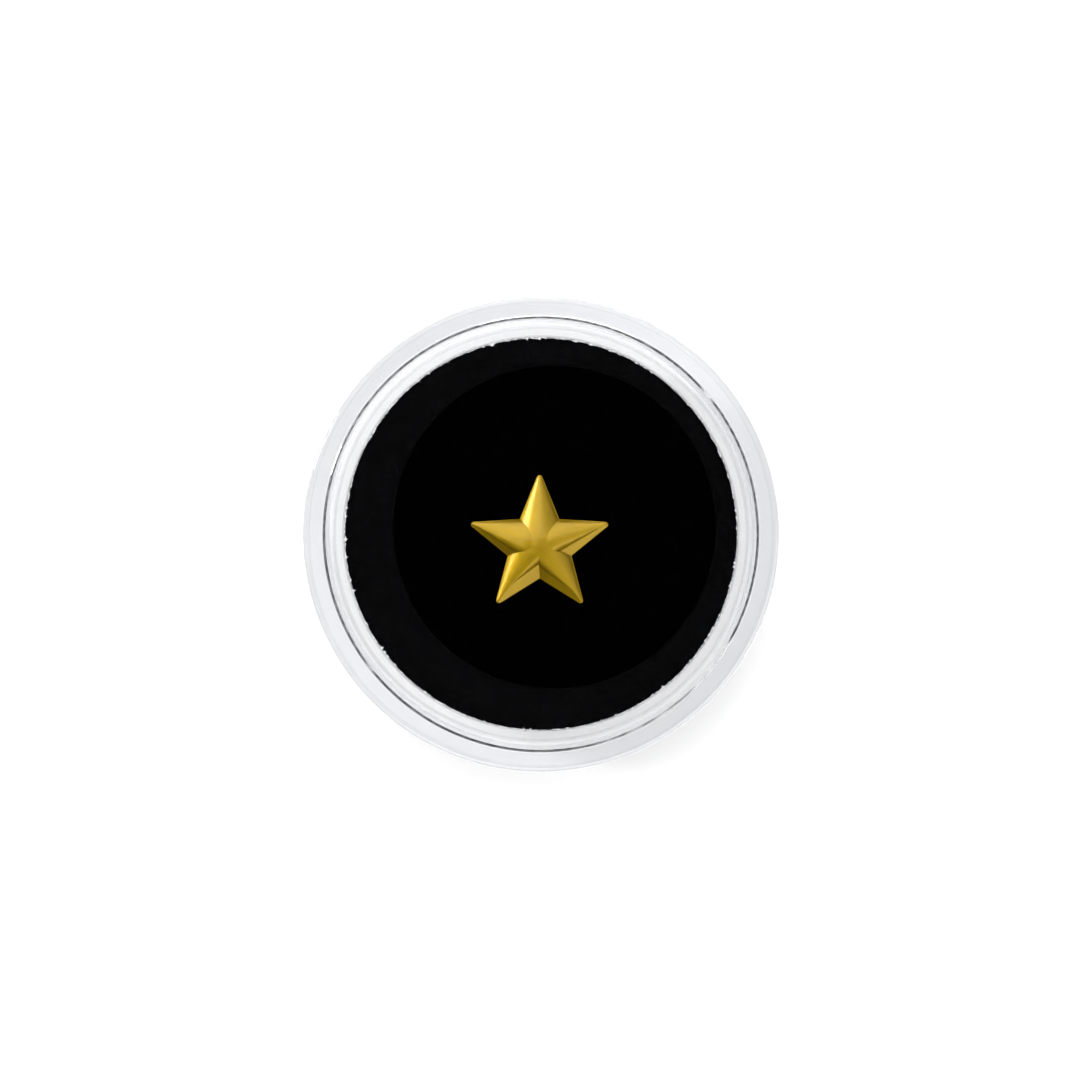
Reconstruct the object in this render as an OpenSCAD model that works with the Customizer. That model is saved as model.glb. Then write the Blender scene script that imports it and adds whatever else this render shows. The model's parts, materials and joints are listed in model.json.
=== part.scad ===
// Round coin capsule: two clear shells that press together round a black foam ring, which
// holds a matt black disc with a gold star. Millimetres, +Z up.
// The origin is the centre of the bottom rim, on the surface that the capsule lies on.

/* [Capsule] */
// Outside diameter of both shells
capsule_d = 35; // [34:0.5:45]
// Height of the closed capsule
capsule_h = 6; // [5.7:0.1:9]
// Inside diameter of the cavity
cavity_d = 29; // [27:0.5:30]
// Thickness of each window
window_t = 1; // [0.8:0.05:1.1]
// Height that each rim stands proud of its window
rim_step = 0.2; // [0.1:0.05:0.3]
// Width of the raised rim round each window
rim_w = 1.95; // [1.5:0.05:2.4]
// Gap between the top of the spigot ring and the lid's window
spigot_gap = 0.1; // [0.05:0.05:0.5]
// Radial gap between the spigot and the lid's skirt
fit_gap = 0.05; // [0.02:0.01:0.1]
// Gap at the parting line, because the lid seats by the press fit
seat_gap = 0.04; // [0.02:0.01:0.1]
// Radius of the outer edges at the top and bottom
edge_r = 0.4; // [0.2:0.05:0.6]
// Radius of the small edges at the parting line and on the spigot
lip_r = 0.15; // [0.1:0.05:0.25]

/* [Foam ring] */
// Thickness of the foam
foam_t = 3.2; // [2.6:0.1:3.3]
// Diameter of the hole cut through the foam
foam_hole_d = 24; // [18:0.5:25]
// Shift of the hole from the capsule's axis along X
hole_shift_x = 1; // [0:0.1:1.2]
// Shift of the hole from the capsule's axis along Y
hole_shift_y = 0.5; // [0:0.1:0.8]
// Radial gap round the foam, and round the disc in its hole
slip_gap = 0.05; // [0.02:0.01:0.1]

/* [Backing disc] */
// Thickness of the disc
disc_t = 1.6; // [1.4:0.1:1.8]
// Radius of the disc's edges
disc_edge_r = 0.15; // [0.1:0.05:0.3]

/* [Star] */
// Distance from the star's centre to the end of each point
star_r = 5.2; // [4:0.1:6]
// Radius of the rounded end of each point
tip_r = 0.2; // [0.1:0.05:0.4]
// Width of the star as a share of a regular star's width
star_stretch = 1.02; // [1:0.01:1.05]
// Radius to the star's inner corners, as a share of star_r
star_waist = 0.465; // [0.4:0.005:0.55]
// Height of the star above the disc
star_h = 1.1; // [0.9:0.1:1.5]
// Height of the upright edge round the star's outline
star_edge = 0.2; // [0.1:0.05:0.3]
// Shift of the star from the capsule's axis along X
star_shift_x = -0.1; // [-1:0.1:1]
// Shift of the star from the capsule's axis along Y
star_shift_y = -0.85; // [-2:0.05:0]
// Diameter of the post on the star's back
post_d = 1.2; // [0.8:0.1:1.6]
// Length of the post, which is pressed into the disc
post_l = 1; // [0.6:0.1:1.2]

/* [Hidden] */
$fn = 96;

eps = 0.01;
capsule_r = capsule_d / 2;
cavity_r = cavity_d / 2;
window_r = capsule_r - rim_w;
floor_z = rim_step + window_t;
parting_z = capsule_h / 2;
ceiling_z = capsule_h - floor_z;
spigot_r = (capsule_r + cavity_r) / 2;
spigot_top_z = ceiling_z - spigot_gap;
skirt_r = spigot_r + fit_gap;
skirt_low_z = parting_z + seat_gap;
foam_r = cavity_r - slip_gap;
foam_hole_r = foam_hole_d / 2;
disc_r = foam_hole_r - slip_gap;
disc_top_z = floor_z + disc_t;

arms = 5;
arm_turn = 360 / arms;
half_turn = arm_turn / 2;
first_arm = 90;
tip_x = star_r - tip_r;
waist_x = star_waist * star_r * cos(half_turn);
waist_y = star_waist * star_r * sin(half_turn);
tip_to_waist = sqrt(pow(waist_x - tip_x, 2) + pow(waist_y, 2));
edge_face = atan2(waist_y, waist_x - tip_x) - acos(tip_r / tip_to_waist);
edge_off = waist_x * cos(edge_face) + waist_y * sin(edge_face);
edge_end = atan2(tip_r * sin(edge_face), tip_x + tip_r * cos(edge_face));
edges_meet_x = edge_off / cos(edge_face);
dome_h = star_h - star_edge;
arm_slope = dome_h / edges_meet_x;
waist_rise = (edges_meet_x - waist_x) * arm_slope;
arm_sink = (pow(waist_y, 2) - pow(waist_rise, 2)) / (2 * waist_rise);
arm_l = edges_meet_x + arm_sink / arm_slope;
arm_steps = 8;
tip_bias = 1.6;
rings = 6;
ring_bias = 1.2;

// What a radius takes off a profile's corner at [x, z]; sx and sz point into the corner
module corner_cut(x, z, r, sx, sz) {
    translate([x, z]) scale([sx, sz]) difference() {
        translate([-r, -r]) square(r + eps);
        translate([-r, -r]) circle(r);
    }
}

// Half section of a plain annular wall
module wall_profile(inner_r, outer_r, low_z, high_z) {
    translate([inner_r, low_z]) square([outer_r - inner_r, high_z - low_z]);
}

module base_profile() {
    difference() {
        union() {
            wall_profile(0, window_r + eps, rim_step, floor_z);
            wall_profile(window_r, capsule_r, 0, floor_z);
            wall_profile(cavity_r, capsule_r, floor_z - eps, parting_z);
            wall_profile(cavity_r, spigot_r, parting_z - eps, spigot_top_z);
        }
        corner_cut(capsule_r, 0, edge_r, 1, -1);
        corner_cut(capsule_r, parting_z, lip_r, 1, 1);
        corner_cut(window_r, 0, lip_r, -1, -1);
        corner_cut(spigot_r, spigot_top_z, lip_r, 1, 1);
        corner_cut(cavity_r, spigot_top_z, lip_r, -1, 1);
    }
}

module lid_profile() {
    difference() {
        union() {
            wall_profile(0, window_r + eps, ceiling_z, capsule_h - rim_step);
            wall_profile(window_r, capsule_r, ceiling_z, capsule_h);
            wall_profile(skirt_r, capsule_r, skirt_low_z, capsule_h);
        }
        corner_cut(capsule_r, capsule_h, edge_r, 1, 1);
        corner_cut(capsule_r, skirt_low_z, lip_r, 1, -1);
        corner_cut(skirt_r, skirt_low_z, lip_r, -1, -1);
        corner_cut(window_r, capsule_h, lip_r, -1, 1);
    }
}

module disc_profile() {
    difference() {
        wall_profile(0, disc_r, floor_z, disc_top_z);
        corner_cut(disc_r, floor_z, disc_edge_r, 1, -1);
        corner_cut(disc_r, disc_top_z, disc_edge_r, 1, 1);
    }
}

// Distance from the star's centre to its outline, at an angle from the nearest arm's axis: a
// straight edge from the waist, then the rounded end of the point
function outline_reach(angle) =
    abs(angle) > edge_end
        ? edge_off / cos(edge_face - abs(angle))
        : tip_x * cos(angle) + sqrt(pow(tip_r, 2) - pow(tip_x * sin(angle), 2));

// Height of the star at a point in the nearest arm's own axes: the top of a long cone that
// lies along +X with its axis sunk below the star's edge
function arm_height(x, y) =
    star_edge - arm_sink + sqrt(max(pow((arm_l - x) * arm_slope, 2) - pow(y, 2), pow(arm_sink, 2)));

// One point of the star's top: a share of the way out along a ray of one arm
function top_point(arm, angle, share) =
    let (
        reach = share * outline_reach(angle),
        turn = first_arm + arm * arm_turn + angle
    )
    [
        star_stretch * reach * cos(turn),
        reach * sin(turn),
        arm_height(reach * cos(angle), reach * sin(angle))
    ];

module base_shell() {
    color([0.92, 0.93, 0.95, 0.35]) rotate_extrude() base_profile();
}

module lid_shell() {
    color([0.92, 0.93, 0.95, 0.35]) rotate_extrude() lid_profile();
}

module foam_ring() {
    color([0.05, 0.05, 0.055]) translate([0, 0, floor_z]) difference() {
        cylinder(h = foam_t, r = foam_r);
        translate([hole_shift_x, hole_shift_y, -eps])
            cylinder(h = foam_t + 2 * eps, r = foam_hole_r);
    }
}

module backing_disc() {
    color([0.02, 0.02, 0.02]) difference() {
        translate([hole_shift_x, hole_shift_y, 0]) rotate_extrude() disc_profile();
        translate([star_shift_x, star_shift_y, disc_top_z - post_l])
            cylinder(h = post_l + eps, d = post_d);
    }
}

// The star's body: a flat back, an upright edge and rings of points that rise to the middle
module star_body() {
    rim = [
        for (arm = [0 : arms - 1], step = [1 - arm_steps : arm_steps])
            [arm, half_turn * sign(step) * pow(abs(step) / arm_steps, tip_bias)]
    ];
    n = len(rim);
    back = [for (r = rim) let (p = top_point(r[0], r[1], 1)) [p[0], p[1], 0]];
    tops = [
        for (ring = [0 : rings - 1], r = rim)
            top_point(r[0], r[1], 1 - pow(ring / rings, ring_bias))
    ];
    centre = n * (rings + 1);
    points = concat(back, tops, [[0, 0, arm_height(0, 0)]]);
    sides = [
        for (ring = [0 : rings - 1], i = [0 : n - 1])
            let (low = ring * n, high = low + n, next = (i + 1) % n)
            each [
                [low + i, high + i, high + next],
                [low + i, high + next, low + next]
            ]
    ];
    cap = [for (i = [0 : n - 1]) [centre - n + i, centre, centre - n + (i + 1) % n]];
    polyhedron(points, concat([[for (i = [0 : n - 1]) i]], sides, cap));
}

module star() {
    color([0.78, 0.63, 0.19]) translate([star_shift_x, star_shift_y, disc_top_z]) {
        star_body();
        translate([0, 0, -post_l]) cylinder(h = post_l + star_edge, d = post_d);
    }
}

base_shell();
lid_shell();
foam_ring();
backing_disc();
star();
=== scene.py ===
import json
import math

import bmesh
import bpy
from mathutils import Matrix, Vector, noise


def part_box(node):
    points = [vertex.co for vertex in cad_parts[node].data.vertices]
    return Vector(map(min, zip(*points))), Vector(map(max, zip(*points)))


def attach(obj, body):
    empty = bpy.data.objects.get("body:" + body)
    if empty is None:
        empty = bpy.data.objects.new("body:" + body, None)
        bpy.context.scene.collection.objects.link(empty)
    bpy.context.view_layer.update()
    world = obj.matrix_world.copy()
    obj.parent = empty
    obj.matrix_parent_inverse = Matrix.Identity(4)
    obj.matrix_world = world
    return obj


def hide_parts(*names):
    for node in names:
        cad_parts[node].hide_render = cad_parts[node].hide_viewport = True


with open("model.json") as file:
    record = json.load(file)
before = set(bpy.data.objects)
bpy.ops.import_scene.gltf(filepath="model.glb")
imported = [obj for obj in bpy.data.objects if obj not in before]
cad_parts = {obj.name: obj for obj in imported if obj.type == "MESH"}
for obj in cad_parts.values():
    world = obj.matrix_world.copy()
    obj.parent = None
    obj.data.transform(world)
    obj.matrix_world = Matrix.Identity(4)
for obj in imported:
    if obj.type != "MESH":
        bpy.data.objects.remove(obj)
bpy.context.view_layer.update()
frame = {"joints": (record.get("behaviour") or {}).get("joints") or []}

# ---------------------------------------------------------------- sizes, in metres
MM = 0.001
ROUND_STEPS = 256

low_base, high_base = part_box("base_shell")
low_lid, high_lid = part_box("lid_shell")
low_foam, high_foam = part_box("foam_ring")
low_disc, high_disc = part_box("backing_disc")
low_star, high_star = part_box("star")

capsule_r = high_base.x
capsule_top = high_lid.z
parting_z = low_lid.z
spigot_top = high_base.z
floor_z = low_foam.z
ceiling_z = capsule_top - floor_z
foam_r = high_foam.x
disc_r = (high_disc.x - low_disc.x) / 2
disc_centre = (low_disc + high_disc) / 2
hinges = {j["name"]: Vector(j["pos_m"]) for j in frame["joints"] if "pos_m" in j}
hole_centre = hinges["token_turn"]

# gaps, steps and radii that the CAD model has too
SLIP_GAP = 0.05 * MM
FIT_GAP = 0.05 * MM
SEAT_GAP = 0.04 * MM
RIM_STEP = 0.2 * MM
RIM_W = 1.95 * MM
EDGE_R = 0.4 * MM
LIP_R = 0.15 * MM
DISC_EDGE_R = 0.15 * MM
# radii that only the visual model has, in inner corners and along the joint line
ROOT_R = 0.06 * MM
JOINT_R = 0.07 * MM
# the step between a window and its rim is a soft slope, this far to each side of the CAD's step
STEP_RUN = 0.2 * MM
STEP_R = 0.85 * MM

cavity_r = foam_r + SLIP_GAP
spigot_r = (capsule_r + cavity_r) / 2
skirt_r = spigot_r + FIT_GAP
window_r = capsule_r - RIM_W
flange_top = parting_z - SEAT_GAP
foam_hole_r = disc_r + SLIP_GAP


# ---------------------------------------------------------------- material helpers
def new_material(name):
    """A material with a plain Principled shader, and its node tree and shader."""
    material = bpy.data.materials.new(name)
    material.use_nodes = True
    tree = material.node_tree
    shader = tree.nodes["Principled BSDF"]
    return material, tree, shader


def place_texture(tree, kind, scale, **values):
    """A texture node in the piece's own coordinates."""
    node = tree.nodes.new(kind)
    node.inputs["Scale"].default_value = scale
    for name, value in values.items():
        node.inputs[name].default_value = value
    coords = tree.nodes.new("ShaderNodeTexCoord")
    tree.links.new(coords.outputs["Object"], node.inputs["Vector"])
    return node


def ramp(tree, source, stops):
    """A colour ramp over a value. Each stop is a place and a colour."""
    node = tree.nodes.new("ShaderNodeValToRGB")
    elements = node.color_ramp.elements
    while len(elements) < len(stops):
        elements.new(0.5)
    for element, (place, colour) in zip(elements, stops):
        element.position = place
        element.color = (*colour, 1.0)
    tree.links.new(source, node.inputs["Fac"])
    return node.outputs["Color"]


def spread(tree, source, span, result):
    """A value that runs over one span, mapped to another. Each is (low, high)."""
    node = tree.nodes.new("ShaderNodeMapRange")
    node.inputs["From Min"].default_value, node.inputs["From Max"].default_value = span
    node.inputs["To Min"].default_value, node.inputs["To Max"].default_value = result
    tree.links.new(source, node.inputs["Value"])
    return node.outputs["Result"]


def combine(tree, operation, first, second):
    """Two values through a math node."""
    node = tree.nodes.new("ShaderNodeMath")
    node.operation = operation
    tree.links.new(first, node.inputs[0])
    tree.links.new(second, node.inputs[1])
    return node.outputs["Value"]


def bump(tree, shader, height, strength, distance):
    """Fine relief on a shader, from a height and the distance that it stands for."""
    node = tree.nodes.new("ShaderNodeBump")
    node.inputs["Strength"].default_value = strength
    node.inputs["Distance"].default_value = distance
    tree.links.new(height, node.inputs["Height"])
    tree.links.new(node.outputs["Normal"], shader.inputs["Normal"])


def let_light_through(material, tree, shader):
    """Shadow rays pass straight through, so the contents are lit cleanly."""
    mix = tree.nodes.new("ShaderNodeMixShader")
    clear = tree.nodes.new("ShaderNodeBsdfTransparent")
    path = tree.nodes.new("ShaderNodeLightPath")
    tree.links.new(path.outputs["Is Shadow Ray"], mix.inputs["Fac"])
    tree.links.new(shader.outputs["BSDF"], mix.inputs[1])
    tree.links.new(clear.outputs["BSDF"], mix.inputs[2])
    tree.links.new(mix.outputs["Shader"], tree.nodes["Material Output"].inputs["Surface"])


# ---------------------------------------------------------------- materials
PLASTIC_IOR = 1.49


def clear_plastic(name, colour):
    """Moulded crystal plastic: faint flow waves and a little handling haze."""
    material, tree, shader = new_material(name)
    shader.inputs["Base Color"].default_value = (*colour, 1)
    shader.inputs["Transmission Weight"].default_value = 1.0
    shader.inputs["IOR"].default_value = PLASTIC_IOR
    haze = place_texture(tree, "ShaderNodeTexNoise", scale=900, Detail=6.0, Roughness=0.7)
    rough = spread(tree, haze.outputs["Fac"], (0.35, 0.75), (0.005, 0.05))
    tree.links.new(rough, shader.inputs["Roughness"])
    flow = place_texture(tree, "ShaderNodeTexNoise", scale=260, Detail=3.0, Roughness=0.5)
    bump(tree, shader, flow.outputs["Fac"], strength=0.12, distance=0.02 * MM)
    let_light_through(material, tree, shader)
    return material


def black_foam():
    """Die-cut closed-cell foam: fine cells, a little lighter where a cell wall catches light."""
    material, tree, shader = new_material("black_foam")
    cells = place_texture(tree, "ShaderNodeTexVoronoi", scale=5200, Randomness=1.0)
    cloud = place_texture(tree, "ShaderNodeTexNoise", scale=1500, Detail=8.0, Roughness=0.65)
    colour = ramp(tree, cloud.outputs["Fac"], [
        (0.3, (0.0008, 0.0008, 0.0010)),
        (0.6, (0.0015, 0.0015, 0.0018)),
        (0.8, (0.0028, 0.0028, 0.0034)),
    ])
    tree.links.new(colour, shader.inputs["Base Color"])
    rough = spread(tree, cells.outputs["Distance"], (0, 1), (0.85, 1.0))
    tree.links.new(rough, shader.inputs["Roughness"])
    shader.inputs["Specular IOR Level"].default_value = 0.02
    bump(tree, shader, cells.outputs["Distance"], strength=0.5, distance=0.04 * MM)
    return material


def matt_black():
    """Matt black disc: almost no light comes back, with a very fine tooth."""
    material, tree, shader = new_material("matt_black")
    tooth = place_texture(tree, "ShaderNodeTexNoise", scale=7000, Detail=5.0, Roughness=0.6)
    colour = ramp(tree, tooth.outputs["Fac"], [
        (0.35, (0.00005, 0.00005, 0.00005)),
        (0.75, (0.0004, 0.0004, 0.00045)),
    ])
    tree.links.new(colour, shader.inputs["Base Color"])
    rough = spread(tree, tooth.outputs["Fac"], (0.3, 0.7), (0.8, 1.0))
    tree.links.new(rough, shader.inputs["Roughness"])
    shader.inputs["Specular IOR Level"].default_value = 0.0
    bump(tree, shader, tooth.outputs["Fac"], strength=0.3, distance=0.01 * MM)
    return material


def gold():
    """Satin gilt metal under a thin lacquer, with soft mottling and fine polishing marks."""
    material, tree, shader = new_material("gold")
    shader.inputs["Metallic"].default_value = 1.0
    mottle = place_texture(tree, "ShaderNodeTexNoise", scale=700, Detail=4.0, Roughness=0.5)
    colour = ramp(tree, mottle.outputs["Fac"], [
        (0.3, (0.375, 0.236, 0.001)),
        (0.7, (0.405, 0.256, 0.002)),
    ])
    tree.links.new(colour, shader.inputs["Base Color"])
    marks = place_texture(tree, "ShaderNodeTexNoise", scale=5000, Detail=6.0, Roughness=0.7)
    rough = spread(tree, marks.outputs["Fac"], (0.3, 0.7), (0.46, 0.52))
    tree.links.new(rough, shader.inputs["Roughness"])
    shader.inputs["Coat Weight"].default_value = 0.6
    shader.inputs["Coat Roughness"].default_value = 0.26
    bump(tree, shader, marks.outputs["Fac"], strength=0.05, distance=0.006 * MM)
    return material


# how dark the painted shade of the joint line is, at shares of a turn: a patchy stretch, and a
# short gap to each side
JOINT_BREAKS = (
    (0.100, 1.0), (0.106, 0.3), (0.112, 1.0),
    (0.290, 1.0), (0.300, 0.6), (0.311, 1.0), (0.322, 0.5), (0.333, 0.9),
    (0.344, 0.4), (0.355, 0.8), (0.372, 0.7), (0.377, 0.1), (0.386, 0.4),
    (0.391, 0.0), (0.399, 0.3), (0.404, 0.0), (0.414, 0.1), (0.420, 1.0),
    (0.604, 1.0), (0.609, 0.0), (0.613, 0.0), (0.618, 1.0),
)


def turn_share(tree):
    """How far round the capsule a point is: 0 to 1, from the -X side by way of -Y."""
    split = tree.nodes.new("ShaderNodeSeparateXYZ")
    coords = tree.nodes.new("ShaderNodeTexCoord")
    tree.links.new(coords.outputs["Object"], split.inputs["Vector"])
    angle = combine(tree, "ARCTAN2", split.outputs["Y"], split.outputs["X"])
    return spread(tree, angle, (-math.pi, math.pi), (0, 1))


def joint_line():
    """The press fit's edge: painted shade, dark where air is trapped, standing for the dark
    reflection in the thin air gap, and clear where the shells touch.
    """
    material, tree, shader = new_material("joint_line")
    shader.inputs["IOR"].default_value = PLASTIC_IOR
    shader.inputs["Roughness"].default_value = 0.25
    # painted shade: the seam's colour is darkened where the air gap would reflect dark
    gap_shade = ramp(tree, turn_share(tree), [
        (place, (grey, grey, grey)) for place, grey in JOINT_BREAKS
    ])
    grain = place_texture(tree, "ShaderNodeTexNoise", scale=2600, Detail=4.0, Roughness=0.6)
    uneven = spread(tree, grain.outputs["Fac"], (0.3, 0.6), (0.75, 1.0))
    dark = combine(tree, "MULTIPLY", gap_shade, uneven)
    clear = spread(tree, dark, (0, 1), (1, 0))
    tree.links.new(clear, shader.inputs["Transmission Weight"])
    colour = ramp(tree, dark, [
        (0.0, (0.95, 0.95, 0.96)),
        (1.0, (0.05, 0.05, 0.055)),
    ])
    tree.links.new(colour, shader.inputs["Base Color"])
    let_light_through(material, tree, shader)
    return material


# ---------------------------------------------------------------- mesh helpers
# a short flat beside each arc keeps the smooth shading of the wide flats true
HOLD = 0.02 * MM
ARC_STEPS = 6
# points closer to the axis than this are on it, and points closer in height are level
ON_AXIS = 1e-9
LEVEL = 1e-7


def rounded_profile(corners):
    """Points round a half section, with each corner's radius as an arc.

    Each corner is (r, z, radius, tag). Returns the points and, for each, the tag of the
    stretch that follows it: a corner's own tag along its arc, and "" on the flats.
    """
    points, tags = [], []
    for i, (r, z, radius, tag) in enumerate(corners):
        here = Vector((r, z))
        if i == 0 or i == len(corners) - 1:
            points.append(here)
            tags.append("")
            continue
        back = (Vector(corners[i - 1][:2]) - here).normalized()
        ahead = (Vector(corners[i + 1][:2]) - here).normalized()
        half = math.acos(max(-1, min(1, back.dot(ahead)))) / 2
        cut = radius / math.tan(half)
        middle = here + (back + ahead).normalized() * (radius / math.sin(half))
        start, end = here + back * cut, here + ahead * cut
        points.append(start + back * HOLD)
        tags.append("")
        a, b = start - middle, end - middle
        turn = math.atan2(a.x * b.y - a.y * b.x, a.dot(b))
        for step in range(ARC_STEPS + 1):
            angle = turn * step / ARC_STEPS
            c, s = math.cos(angle), math.sin(angle)
            points.append(middle + Vector((a.x * c - a.y * s, a.x * s + a.y * c)))
            tags.append(tag if step < ARC_STEPS else "")
        points.append(end + ahead * HOLD)
        tags.append("")
    return points, tags


def finish_mesh(name, mesh_builder, materials, sharp=30):
    """Links a mesh as a smooth-shaded piece with crisp edges where faces meet steeply."""
    bmesh.ops.recalc_face_normals(mesh_builder, faces=mesh_builder.faces)
    mesh = bpy.data.meshes.new(name)
    mesh_builder.to_mesh(mesh)
    mesh_builder.free()
    piece = bpy.data.objects.new(name, mesh)
    bpy.context.scene.collection.objects.link(piece)
    for material in materials:
        mesh.materials.append(material)
    mesh.polygons.foreach_set("use_smooth", [True] * len(mesh.polygons))
    mesh.set_sharp_from_angle(angle=math.radians(sharp))
    mesh.update()
    return piece


def join_rows(mesh_builder, low, high):
    """Faces between two closed rows of points. Returns them."""
    faces = []
    for i in range(max(len(low), len(high))):
        j = i + 1
        corners = [
            low[i % len(low)], low[j % len(low)], high[j % len(high)], high[i % len(high)],
        ]
        faces.append(mesh_builder.faces.new(list(dict.fromkeys(corners))))
    return faces


def lathe(name, profile, looks, centre=(0, 0), window=0):
    """A solid of revolution from a profile that starts and ends on the axis.

    looks gives the material for each of the profile's tags. Flat faces closer in than the
    window radius take the one for "window".
    """
    points, tags = profile
    slots = list(looks)
    mesh_builder = bmesh.new()
    rings = []
    for point in points:
        if point.x < ON_AXIS:
            rings.append([mesh_builder.verts.new((centre[0], centre[1], point.y))])
            continue
        ring = []
        for i in range(ROUND_STEPS):
            a = 2 * math.pi * i / ROUND_STEPS
            ring.append(mesh_builder.verts.new((
                centre[0] + point.x * math.cos(a),
                centre[1] + point.x * math.sin(a),
                point.y,
            )))
        rings.append(ring)
    for low, high, tag in zip(rings, rings[1:], tags):
        reach = max(low[0].co.xy.length, high[0].co.xy.length)
        if abs(low[0].co.z - high[0].co.z) < LEVEL and reach < window:
            tag = "window"
        for face in join_rows(mesh_builder, low, high):
            face.material_index = slots.index(tag)
    return finish_mesh(name, mesh_builder, looks.values())


# ---------------------------------------------------------------- clear shells
plain_look = clear_plastic("crystal", (0.922, 0.924, 0.934))
# the flats inside the window radius are clearer plastic than the rest: painted light that lifts the
# foam's shadow seen through them
window_look = clear_plastic("painted_light_window_crystal", (0.994, 0.995, 0.998))
# painted shade on the slope between each window and its rim, as darker plastic
step_look = clear_plastic("painted_shade_step_crystal", (0.77, 0.773, 0.785))
# painted shade on the rounded outer edges, as darker plastic
edge_look = clear_plastic("painted_shade_edge_crystal", (0.80, 0.803, 0.812))
# the cavity's lip is darker plastic: painted shade for the foam's shadow and its dark reflection in
# the wall beside it
lip_look = clear_plastic("painted_shade_lip", (0.62, 0.62, 0.63))
joint_look = joint_line()

base_profile = rounded_profile([
    (0, RIM_STEP, 0, ""),
    (window_r - STEP_RUN, RIM_STEP, STEP_R, "step"),
    (window_r + STEP_RUN, 0, STEP_R, "step"),
    (capsule_r, 0, EDGE_R, "edge"),
    (capsule_r, flange_top, LIP_R, ""),
    (spigot_r, flange_top, ROOT_R, ""),
    (spigot_r, spigot_top, JOINT_R, "joint"),
    (cavity_r, spigot_top, LIP_R, "lip"),
    (cavity_r, floor_z, ROOT_R, ""),
    (0, floor_z, 0, ""),
])
lid_profile = rounded_profile([
    (0, ceiling_z, 0, ""),
    (skirt_r, ceiling_z, JOINT_R, "joint"),
    (skirt_r, parting_z, LIP_R, ""),
    (capsule_r, parting_z, LIP_R, ""),
    (capsule_r, capsule_top, EDGE_R, "edge"),
    (window_r + STEP_RUN, capsule_top, STEP_R, "step"),
    (window_r - STEP_RUN, capsule_top - RIM_STEP, STEP_R, "step"),
    (0, capsule_top - RIM_STEP, 0, ""),
])
base_looks = {
    "": plain_look,
    "joint": joint_look,
    "lip": lip_look,
    "step": step_look,
    "edge": edge_look,
    "window": window_look,
}
lid_looks = {tag: look for tag, look in base_looks.items() if tag != "lip"}
base = lathe("base_shell_fine", base_profile, base_looks, window=window_r)
lid = lathe("lid_shell_fine", lid_profile, lid_looks, window=skirt_r)


# ---------------------------------------------------------------- foam ring
FOAM_STEPS = 1300
# the section's rows of points: shares of the way in across a skin, and of the way up a cut face
TOP_SHARES = (0, 0.012, 0.03, 0.07, 0.15, 0.3, 0.5, 0.7, 0.85, 0.93, 0.97, 0.988, 1)
INNER_SHARES = (0.97, 0.9, 0.75, 0.55, 0.35, 0.2, 0.08, 0.03)
BOTTOM_SHARES = (1, 0.97, 0.85, 0.5, 0.15, 0.03, 0)
FOAM_ROWS = (
    ("top", TOP_SHARES),
    ("inner", INNER_SHARES),
    ("bottom", BOTTOM_SHARES),
    ("outer", INNER_SHARES[::-1]),
)
# how far the hole's soft upper edge closes over the disc's rim
HOLE_CLOSES = 0.03 * MM
SOFT_EDGE = 0.05 * MM
SKIN_DIP = 0.012 * MM
SKIN_CELLS = 1800
# torn cells on the outside: the band of a skin that they reach, and the share that they fade over
TORN_BAND = 0.4 * MM
TORN_SHARE = 0.07
# fine and coarse cells, in cells per metre, how deep they bite, and what stays whole
FINE_CELLS = 4400
FINE_DEPTH = 0.95 * MM
COARSE_CELLS = 2100
COARSE_DEPTH = 0.3 * MM
COARSE_SHIFT = Vector((3, 5, 7))
WHOLE = 0.09 * MM
# the bites are grooves: they change this much as fast with height as along the edge
GROOVE_LEAN = 0.12


def torn_depth(spot):
    """How deep the torn cells bite in at a point of the outer cut face."""
    groove = Vector((spot.x, spot.y, spot.z * GROOVE_LEAN))
    fine = noise.noise(groove * FINE_CELLS)
    coarse = noise.noise(groove * COARSE_CELLS + COARSE_SHIFT)
    return max(0, fine * FINE_DEPTH + coarse * COARSE_DEPTH - WHOLE)


def foam_point(kind, share, angle):
    """A point of the foam's surface, on one of its rows."""
    way = Vector((math.cos(angle), math.sin(angle), 0))
    outer = way * foam_r
    z = low_foam.z + (high_foam.z - low_foam.z) * share
    # the soft cut edge closes over the disc's rim, and clears it lower down
    over = kind == "top" or (kind == "inner" and z > high_disc.z)
    inner = hole_centre.to_2d().to_3d() + way * (disc_r - HOLE_CLOSES if over else foam_hole_r)
    on_skin = kind in ("top", "bottom")
    if on_skin:
        spot = outer.lerp(inner, share)
        spot.z = high_foam.z if kind == "top" else low_foam.z
        at_edge = share in (0, 1)
    else:
        spot = outer if kind == "outer" else inner
        spot.z = z
        at_edge = True
    # torn cells bite into the outer cut face; the hole is a crisp cut
    if spot.xy.length > foam_r - TORN_BAND and kind != "inner":
        weight = 1 if at_edge else max(0, 1 - share / TORN_SHARE)
        spot -= way * torn_depth(spot) * weight
    if on_skin:
        dip = SOFT_EDGE if at_edge else 0
        dip += SKIN_DIP * (1 + noise.noise(spot * SKIN_CELLS))
        spot.z += -dip if kind == "top" else dip
    return spot


def foam_ring(material):
    """A die-cut ring: its outer face is ragged with torn cells, and its skins are almost flat."""
    mesh_builder = bmesh.new()
    rings = []
    for kind, shares in FOAM_ROWS:
        for share in shares:
            ring = []
            for i in range(FOAM_STEPS):
                spot = foam_point(kind, share, 2 * math.pi * i / FOAM_STEPS)
                ring.append(mesh_builder.verts.new(spot))
            rings.append(ring)
    for low, high in zip(rings, rings[1:] + rings[:1]):
        join_rows(mesh_builder, low, high)
    return finish_mesh("foam_ring_cut", mesh_builder, [material], sharp=50)


foam = foam_ring(black_foam())

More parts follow.
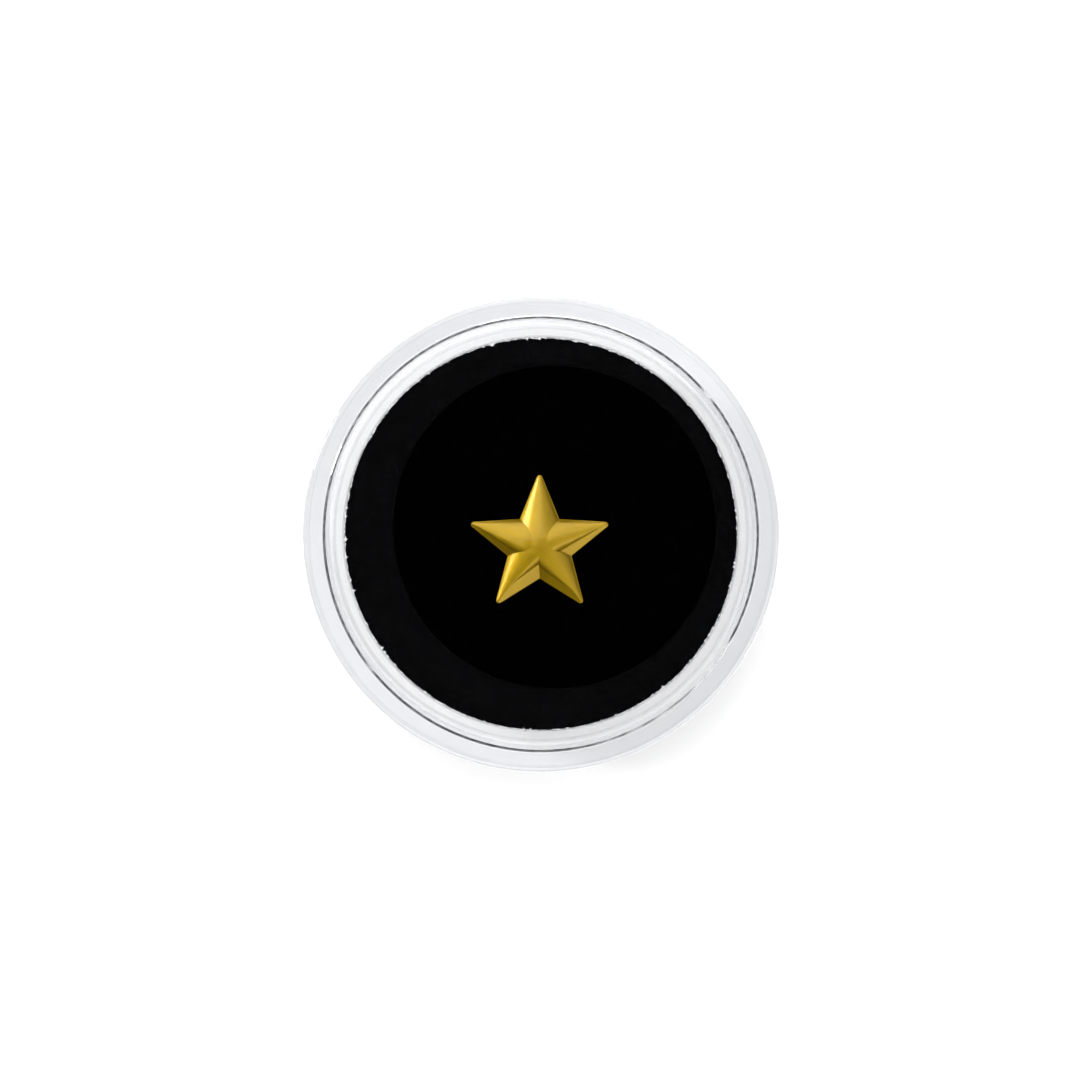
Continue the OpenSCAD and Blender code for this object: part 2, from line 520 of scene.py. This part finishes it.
# ---------------------------------------------------------------- backing disc
disc_profile = rounded_profile([
    (0, low_disc.z, 0, ""),
    (disc_r, low_disc.z, DISC_EDGE_R, ""),
    (disc_r, high_disc.z, DISC_EDGE_R, ""),
    (0, high_disc.z, 0, ""),
])
disc = lathe("backing_disc_fine", disc_profile, {"": matt_black()}, centre=disc_centre.xy)

# ---------------------------------------------------------------- star
ARMS = 5
FIRST_ARM = math.pi / 2
HALF_TURN = math.pi / ARMS
STAR_WAIST = 0.465
STAR_EDGE = 0.2 * MM
TIP_R = 0.2 * MM
# a small lip between the upright edge and the puffed top
LIP_W = 0.04 * MM
LIP_DROP = 0.01 * MM
STAR_STRETCH = 1.02
# each arm's ridge, going round from the top arm: where it stops rising, and its own height
RIDGE_FLAT = (0.5 * MM, 1.05 * MM, 0.7 * MM, 0.7 * MM, 1.05 * MM)
RIDGE_GAIN = (1.0, 1.05, 1.0, 1.0, 1.05)
RIDGE_SOFT = 0.15 * MM
ROLL_R = 1.2 * MM
CROWN_SOFT = 0.015 * MM
# the arms blend into one crown between these distances from the star's centre
CROWN_FADE = (0.3 * MM, 1.3 * MM)
# the flanks that look towards -Y carry a ledge below a crease. How a flank falls to its crease: how
# far, as a share of the crease's distance from the arm's axis, and by which power
LATE_FALL = (0.34, 4.2)
EVEN_FALL = (0.47, 3.0)
# for each (arm, side), with side +1 anticlockwise: the slope of its crease from the arm's axis,
# where the crease meets the axis, and how the flank falls to it
LEDGES = {
    (1, 1): (0.29, 5.0 * MM, LATE_FALL),
    (2, 1): (0.31, 3.6 * MM, EVEN_FALL),
    (3, -1): (0.32, 4.2 * MM, LATE_FALL),
    (4, -1): (0.235, 4.9 * MM, EVEN_FALL),
}
# the ledges fade in between these distances along the arm's axis
LEDGE_FADE = (0.2 * MM, 1.2 * MM)
# limits that keep an arm's section whole at its tip: its half width, and the crease's distance
# from the axis, at least in metres and at most as a share of the half width
LEAST_WIDTH = 0.002 * MM
LEAST_CREASE = 0.001 * MM
MOST_CREASE = 0.9
# how finely the star is cut, closer along the ridges and near the edge
FLANK_STEPS = 44
FLANK_BIAS = 1.5
STAR_RINGS = 84
RING_BIAS = 1.1
# the foot stays this far above the disc, and points closer together than WELD become one
FOOT_GAP = 0.002 * MM
WELD = 0.0004 * MM


class Outline:
    """Half of one arm's outline, set in a little: a straight edge and a round tip."""

    def __init__(self, reach_r, inset):
        waist = Vector((math.cos(HALF_TURN), math.sin(HALF_TURN))) * STAR_WAIST * reach_r
        self.tip_x = reach_r - TIP_R
        self.tip_r = TIP_R - inset
        away = waist - Vector((self.tip_x, 0))
        self.face = math.atan2(away.y, away.x) - math.acos(TIP_R / away.length)
        self.off = waist.x * math.cos(self.face) + waist.y * math.sin(self.face) - inset
        self.round_from = self.tip_x + self.tip_r * math.cos(self.face)
        self.end_angle = math.atan2(self.tip_r * math.sin(self.face), self.round_from)

    def reach(self, angle):
        """Distance from the star's centre to the edge, at an angle from the arm's axis."""
        angle = abs(angle)
        if angle > self.end_angle:
            return self.off / math.cos(self.face - angle)
        across = self.tip_x * math.sin(angle)
        return self.tip_x * math.cos(angle) + math.sqrt(self.tip_r ** 2 - across ** 2)

    def half_width(self, u):
        """Distance from the arm's axis to the edge, at a distance along the axis."""
        if u < self.round_from:
            return (self.off - u * math.cos(self.face)) / math.sin(self.face)
        return math.sqrt(max(self.tip_r ** 2 - (u - self.tip_x) ** 2, 0))


# the box runs from the round end of the top point to those of the two lower points
star_tall = high_star.y - low_star.y
star_r = (star_tall - TIP_R * (1 - math.cos(HALF_TURN))) / (1 + math.cos(HALF_TURN))
star_x = (low_star.x + high_star.x) / 2
star_y = high_star.y - star_r
star_foot = high_disc.z
foot_line = Outline(star_r, 0)
lip_line = Outline(star_r, LIP_W)
rise = (high_star.z - star_foot - STAR_EDGE) / lip_line.half_width(RIDGE_FLAT[0])


def ease(value, span):
    """0 below the span, 1 above it, and a smooth step between."""
    low, high = span
    t = max(0.0, min(1.0, (value - low) / (high - low)))
    return t * t * (3 - 2 * t)


def ridge(arm, u):
    """Height along an arm's ridge. Past the star's centre the ridge rolls off."""
    lead = (u - RIDGE_FLAT[arm]) / RIDGE_SOFT
    held = RIDGE_FLAT[arm] + RIDGE_SOFT * math.log1p(math.exp(lead))
    level = rise * RIDGE_GAIN[arm] * lip_line.half_width(held)
    return level - max(0, -u) ** 2 / (2 * ROLL_R)


def arm_height(arm, u, v):
    """Height of one arm at a point in its own axes: a cone, with a ledge on some flanks."""
    side = 1 if v > 0 else -1
    v = abs(v)
    w = max(lip_line.half_width(u), LEAST_WIDTH)
    top = ridge(arm, u)
    plain_r = w * (1 + rise ** 2) / (2 * rise)
    if (arm, side) not in LEDGES:
        return top - plain_r + math.sqrt(max(plain_r ** 2 - v ** 2, 0))
    lean, meets, (fall, fall_power) = LEDGES[(arm, side)]
    crease_v = min(max(lean * (meets - u), LEAST_CREASE), MOST_CREASE * w)
    ledge = ease(u, LEDGE_FADE)
    plain_drop = plain_r - math.sqrt(max(plain_r ** 2 - crease_v ** 2, 0))
    drop = plain_drop + (fall * crease_v - plain_drop) * ledge
    power = 2 + (fall_power - 2) * ledge
    if v <= crease_v:
        return top - drop * (v / crease_v) ** power
    return (top - drop) * (w - v) / (w - crease_v)


def star_height(arm, side, turn, reach):
    """Height above the rim in one arm's sector. Plain flanks run into their neighbours."""
    heights = []
    for other in range(ARMS):
        away = turn - FIRST_ARM - other * 2 * HALF_TURN
        heights.append(arm_height(other, reach * math.cos(away), reach * math.sin(away)))
    own = heights[arm]
    neighbour = (arm + side) % ARMS
    if (arm, side) not in LEDGES and (neighbour, -side) not in LEDGES:
        own = max(own, heights[neighbour])
    most = max(heights)
    summed = sum(math.exp((h - most) / CROWN_SOFT) for h in heights)
    crown = most + CROWN_SOFT * math.log(summed / ARMS)
    near = 1 - ease(reach, CROWN_FADE)
    return max(0, own + (crown - own) * near)


def build_star(material):
    """The puffed star: a foot, an upright edge with a small lip, and rings up to the middle."""
    mesh_builder = bmesh.new()
    edge_z = star_foot + STAR_EDGE
    rim = []
    for arm in range(ARMS):
        for step in range(-FLANK_STEPS, FLANK_STEPS + 1):
            side = 1 if step > 0 else -1
            rim.append((arm, side, side * HALF_TURN * (abs(step) / FLANK_STEPS) ** FLANK_BIAS))

    def add_row(line, share=1, flat_z=None):
        """Points round the star, a share of the way out to a line: on its top, or at one height."""
        row = []
        for arm, side, angle in rim:
            turn = FIRST_ARM + arm * 2 * HALF_TURN + angle
            reach = share * line.reach(angle)
            x = star_x + STAR_STRETCH * reach * math.cos(turn)
            y = star_y + reach * math.sin(turn)
            z = edge_z + star_height(arm, side, turn, reach) if flat_z is None else flat_z
            row.append(mesh_builder.verts.new((x, y, z)))
        return row

    rows = [add_row(foot_line, flat_z=edge_z - LIP_DROP)]
    for ring in range(STAR_RINGS):
        rows.append(add_row(lip_line, share=1 - (ring / STAR_RINGS) ** RING_BIAS))
    rows.insert(0, add_row(foot_line, flat_z=star_foot + FOOT_GAP))
    for low, high in zip(rows, rows[1:]):
        join_rows(mesh_builder, low, high)
    crown_z = sum(v.co.z for v in rows[-1]) / len(rim)
    crown = mesh_builder.verts.new((star_x, star_y, crown_z))
    join_rows(mesh_builder, rows[-1], [crown])
    mesh_builder.faces.new(rows[0][::-1])
    bmesh.ops.remove_doubles(mesh_builder, verts=mesh_builder.verts, dist=WELD)
    return finish_mesh("star_fine", mesh_builder, [material], sharp=28)


star = build_star(gold())

# ---------------------------------------------------------------- what rides on what
for piece, body, node, slot in (
    (base, "base", "base_shell", "clear_base"),
    (lid, "lid", "lid_shell", "clear_lid"),
    (foam, "insert", "foam_ring", "black_foam"),
    (disc, "token", "backing_disc", "matt_black"),
    (star, "token", "star", "gold"),
):
    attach(piece, body)
    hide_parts(node)

# ---------------------------------------------------------------- floor
FLOOR_REACH = 6.0
# the floor lies just below the capsule, so that their faces don't fight
FLOOR_DROP = 0.03 * MM


def lit_white_table():
    """White paper over a light: about half of its brightness is its own."""
    material, tree, shader = new_material("lit_white_table")
    paper = place_texture(tree, "ShaderNodeTexNoise", scale=40, Detail=3.0)
    colour = ramp(tree, paper.outputs["Fac"], [
        (0.3, (0.56, 0.56, 0.563)),
        (0.7, (0.58, 0.58, 0.58)),
    ])
    tree.links.new(colour, shader.inputs["Base Color"])
    shader.inputs["Emission Color"].default_value = (1, 1, 1, 1)
    shader.inputs["Emission Strength"].default_value = 0.5
    shader.inputs["Roughness"].default_value = 0.9
    shader.inputs["Specular IOR Level"].default_value = 0.1
    return material


def build_floor(material):
    """One wide flat face that the capsule lies on."""
    corners = [
        (x * FLOOR_REACH, y * FLOOR_REACH, -FLOOR_DROP)
        for x, y in ((-1, -1), (1, -1), (1, 1), (-1, 1))
    ]
    mesh = bpy.data.meshes.new("floor")
    mesh.from_pydata(corners, [], [(0, 1, 2, 3)])
    mesh.materials.append(material)
    piece = bpy.data.objects.new("floor", mesh)
    bpy.context.scene.collection.objects.link(piece)


build_floor(lit_white_table())

# ---------------------------------------------------------------- light
LIGHT_AWAY = 2.0


def soft_box(name, azimuth, elevation, radiance, size):
    """A soft light that looks at the capsule. Azimuth runs from +X towards +Y."""
    light = bpy.data.lights.new(name, "AREA")
    light.shape = "RECTANGLE"
    light.size, light.size_y = size
    light.energy = radiance * math.pi * size[0] * size[1]
    lamp = bpy.data.objects.new(name, light)
    bpy.context.scene.collection.objects.link(lamp)
    a, e = math.radians(azimuth), math.radians(elevation)
    way = Vector((math.cos(a) * math.cos(e), math.sin(a) * math.cos(e), math.sin(e)))
    lamp.location = way * LIGHT_AWAY
    lamp.rotation_mode = "QUATERNION"
    lamp.rotation_quaternion = way.to_track_quat("Z", "Y")


# two small bright lights give the star's left flanks their cream highlights
soft_box("key", azimuth=160, elevation=17, radiance=31, size=(0.27, 0.52))
soft_box("high_key", azimuth=153, elevation=32, radiance=30, size=(0.23, 0.28))
# wide dim ones fill in from above, from behind, and from the right on the lower flanks
soft_box("top", azimuth=115, elevation=55, radiance=1.95, size=(2.1, 2.1))
soft_box("back", azimuth=85, elevation=26, radiance=2.3, size=(1.4, 0.8))
soft_box("low_back", azimuth=85, elevation=13, radiance=2.6, size=(1.5, 0.55))
soft_box("low_right", azimuth=306, elevation=41, radiance=1.75, size=(1.8, 1.4))

# ---------------------------------------------------------------- world
BRIGHT_SIDE = math.radians(55)
# how far towards the bright side, as a cosine, the room goes from dim to full
SIDE_SPAN = (-0.35, 0.35)
DIM_AND_FULL = (0.05, 1)
# the shares of the way up over which the bright band along the horizon fades out
HORIZON_SPAN = (0.02, 0.08)


def build_world():
    """A pale room: brighter towards the back right, bright along the horizon, dark overhead.

    The dark patch overhead is what the flat windows mirror, so that the black stays black.
    """
    world = bpy.data.worlds.new("studio")
    bpy.context.scene.world = world
    world.use_nodes = True
    tree = world.node_tree
    coords = tree.nodes.new("ShaderNodeTexCoord").outputs["Generated"]
    split = tree.nodes.new("ShaderNodeSeparateXYZ")
    tree.links.new(coords, split.inputs["Vector"])
    colour = ramp(tree, split.outputs["Z"], [
        (0.0, (0.95, 0.95, 0.96)),
        (0.04, (0.80, 0.80, 0.81)),
        (0.12, (0.82, 0.82, 0.83)),
        (0.982, (0.82, 0.82, 0.83)),
        (0.997, (0.0, 0.0, 0.0)),
    ])
    towards = tree.nodes.new("ShaderNodeVectorMath")
    towards.operation = "DOT_PRODUCT"
    towards.inputs[1].default_value = (math.cos(BRIGHT_SIDE), math.sin(BRIGHT_SIDE), 0)
    tree.links.new(coords, towards.inputs[0])
    side = spread(tree, towards.outputs["Value"], SIDE_SPAN, DIM_AND_FULL)
    horizon = spread(tree, split.outputs["Z"], HORIZON_SPAN, (1, 0))
    background = tree.nodes["Background"]
    tree.links.new(colour, background.inputs["Color"])
    tree.links.new(combine(tree, "MAXIMUM", side, horizon), background.inputs["Strength"])


build_world()
bpy.context.scene.view_settings.view_transform = "Standard"

# ---------------------------------------------------------------- camera
CAMERA_Z = 0.6
# what the picture's width spans at the top of the capsule
VIEW_W = 79.4 * MM
# the capsule sits a little right of and above the picture's middle
VIEW_X = -0.07 * MM
VIEW_Y = -0.44 * MM
CLIP_START = 0.01


def build_camera():
    """Straight down on the capsule with a long lens."""
    data = bpy.data.cameras.new("camera")
    camera = bpy.data.objects.new("camera", data)
    bpy.context.scene.collection.objects.link(camera)
    data.lens = data.sensor_width * (CAMERA_Z - capsule_top) / VIEW_W
    data.clip_start = CLIP_START
    camera.location = (VIEW_X, VIEW_Y, CAMERA_Z)
    bpy.context.scene.camera = camera


build_camera()
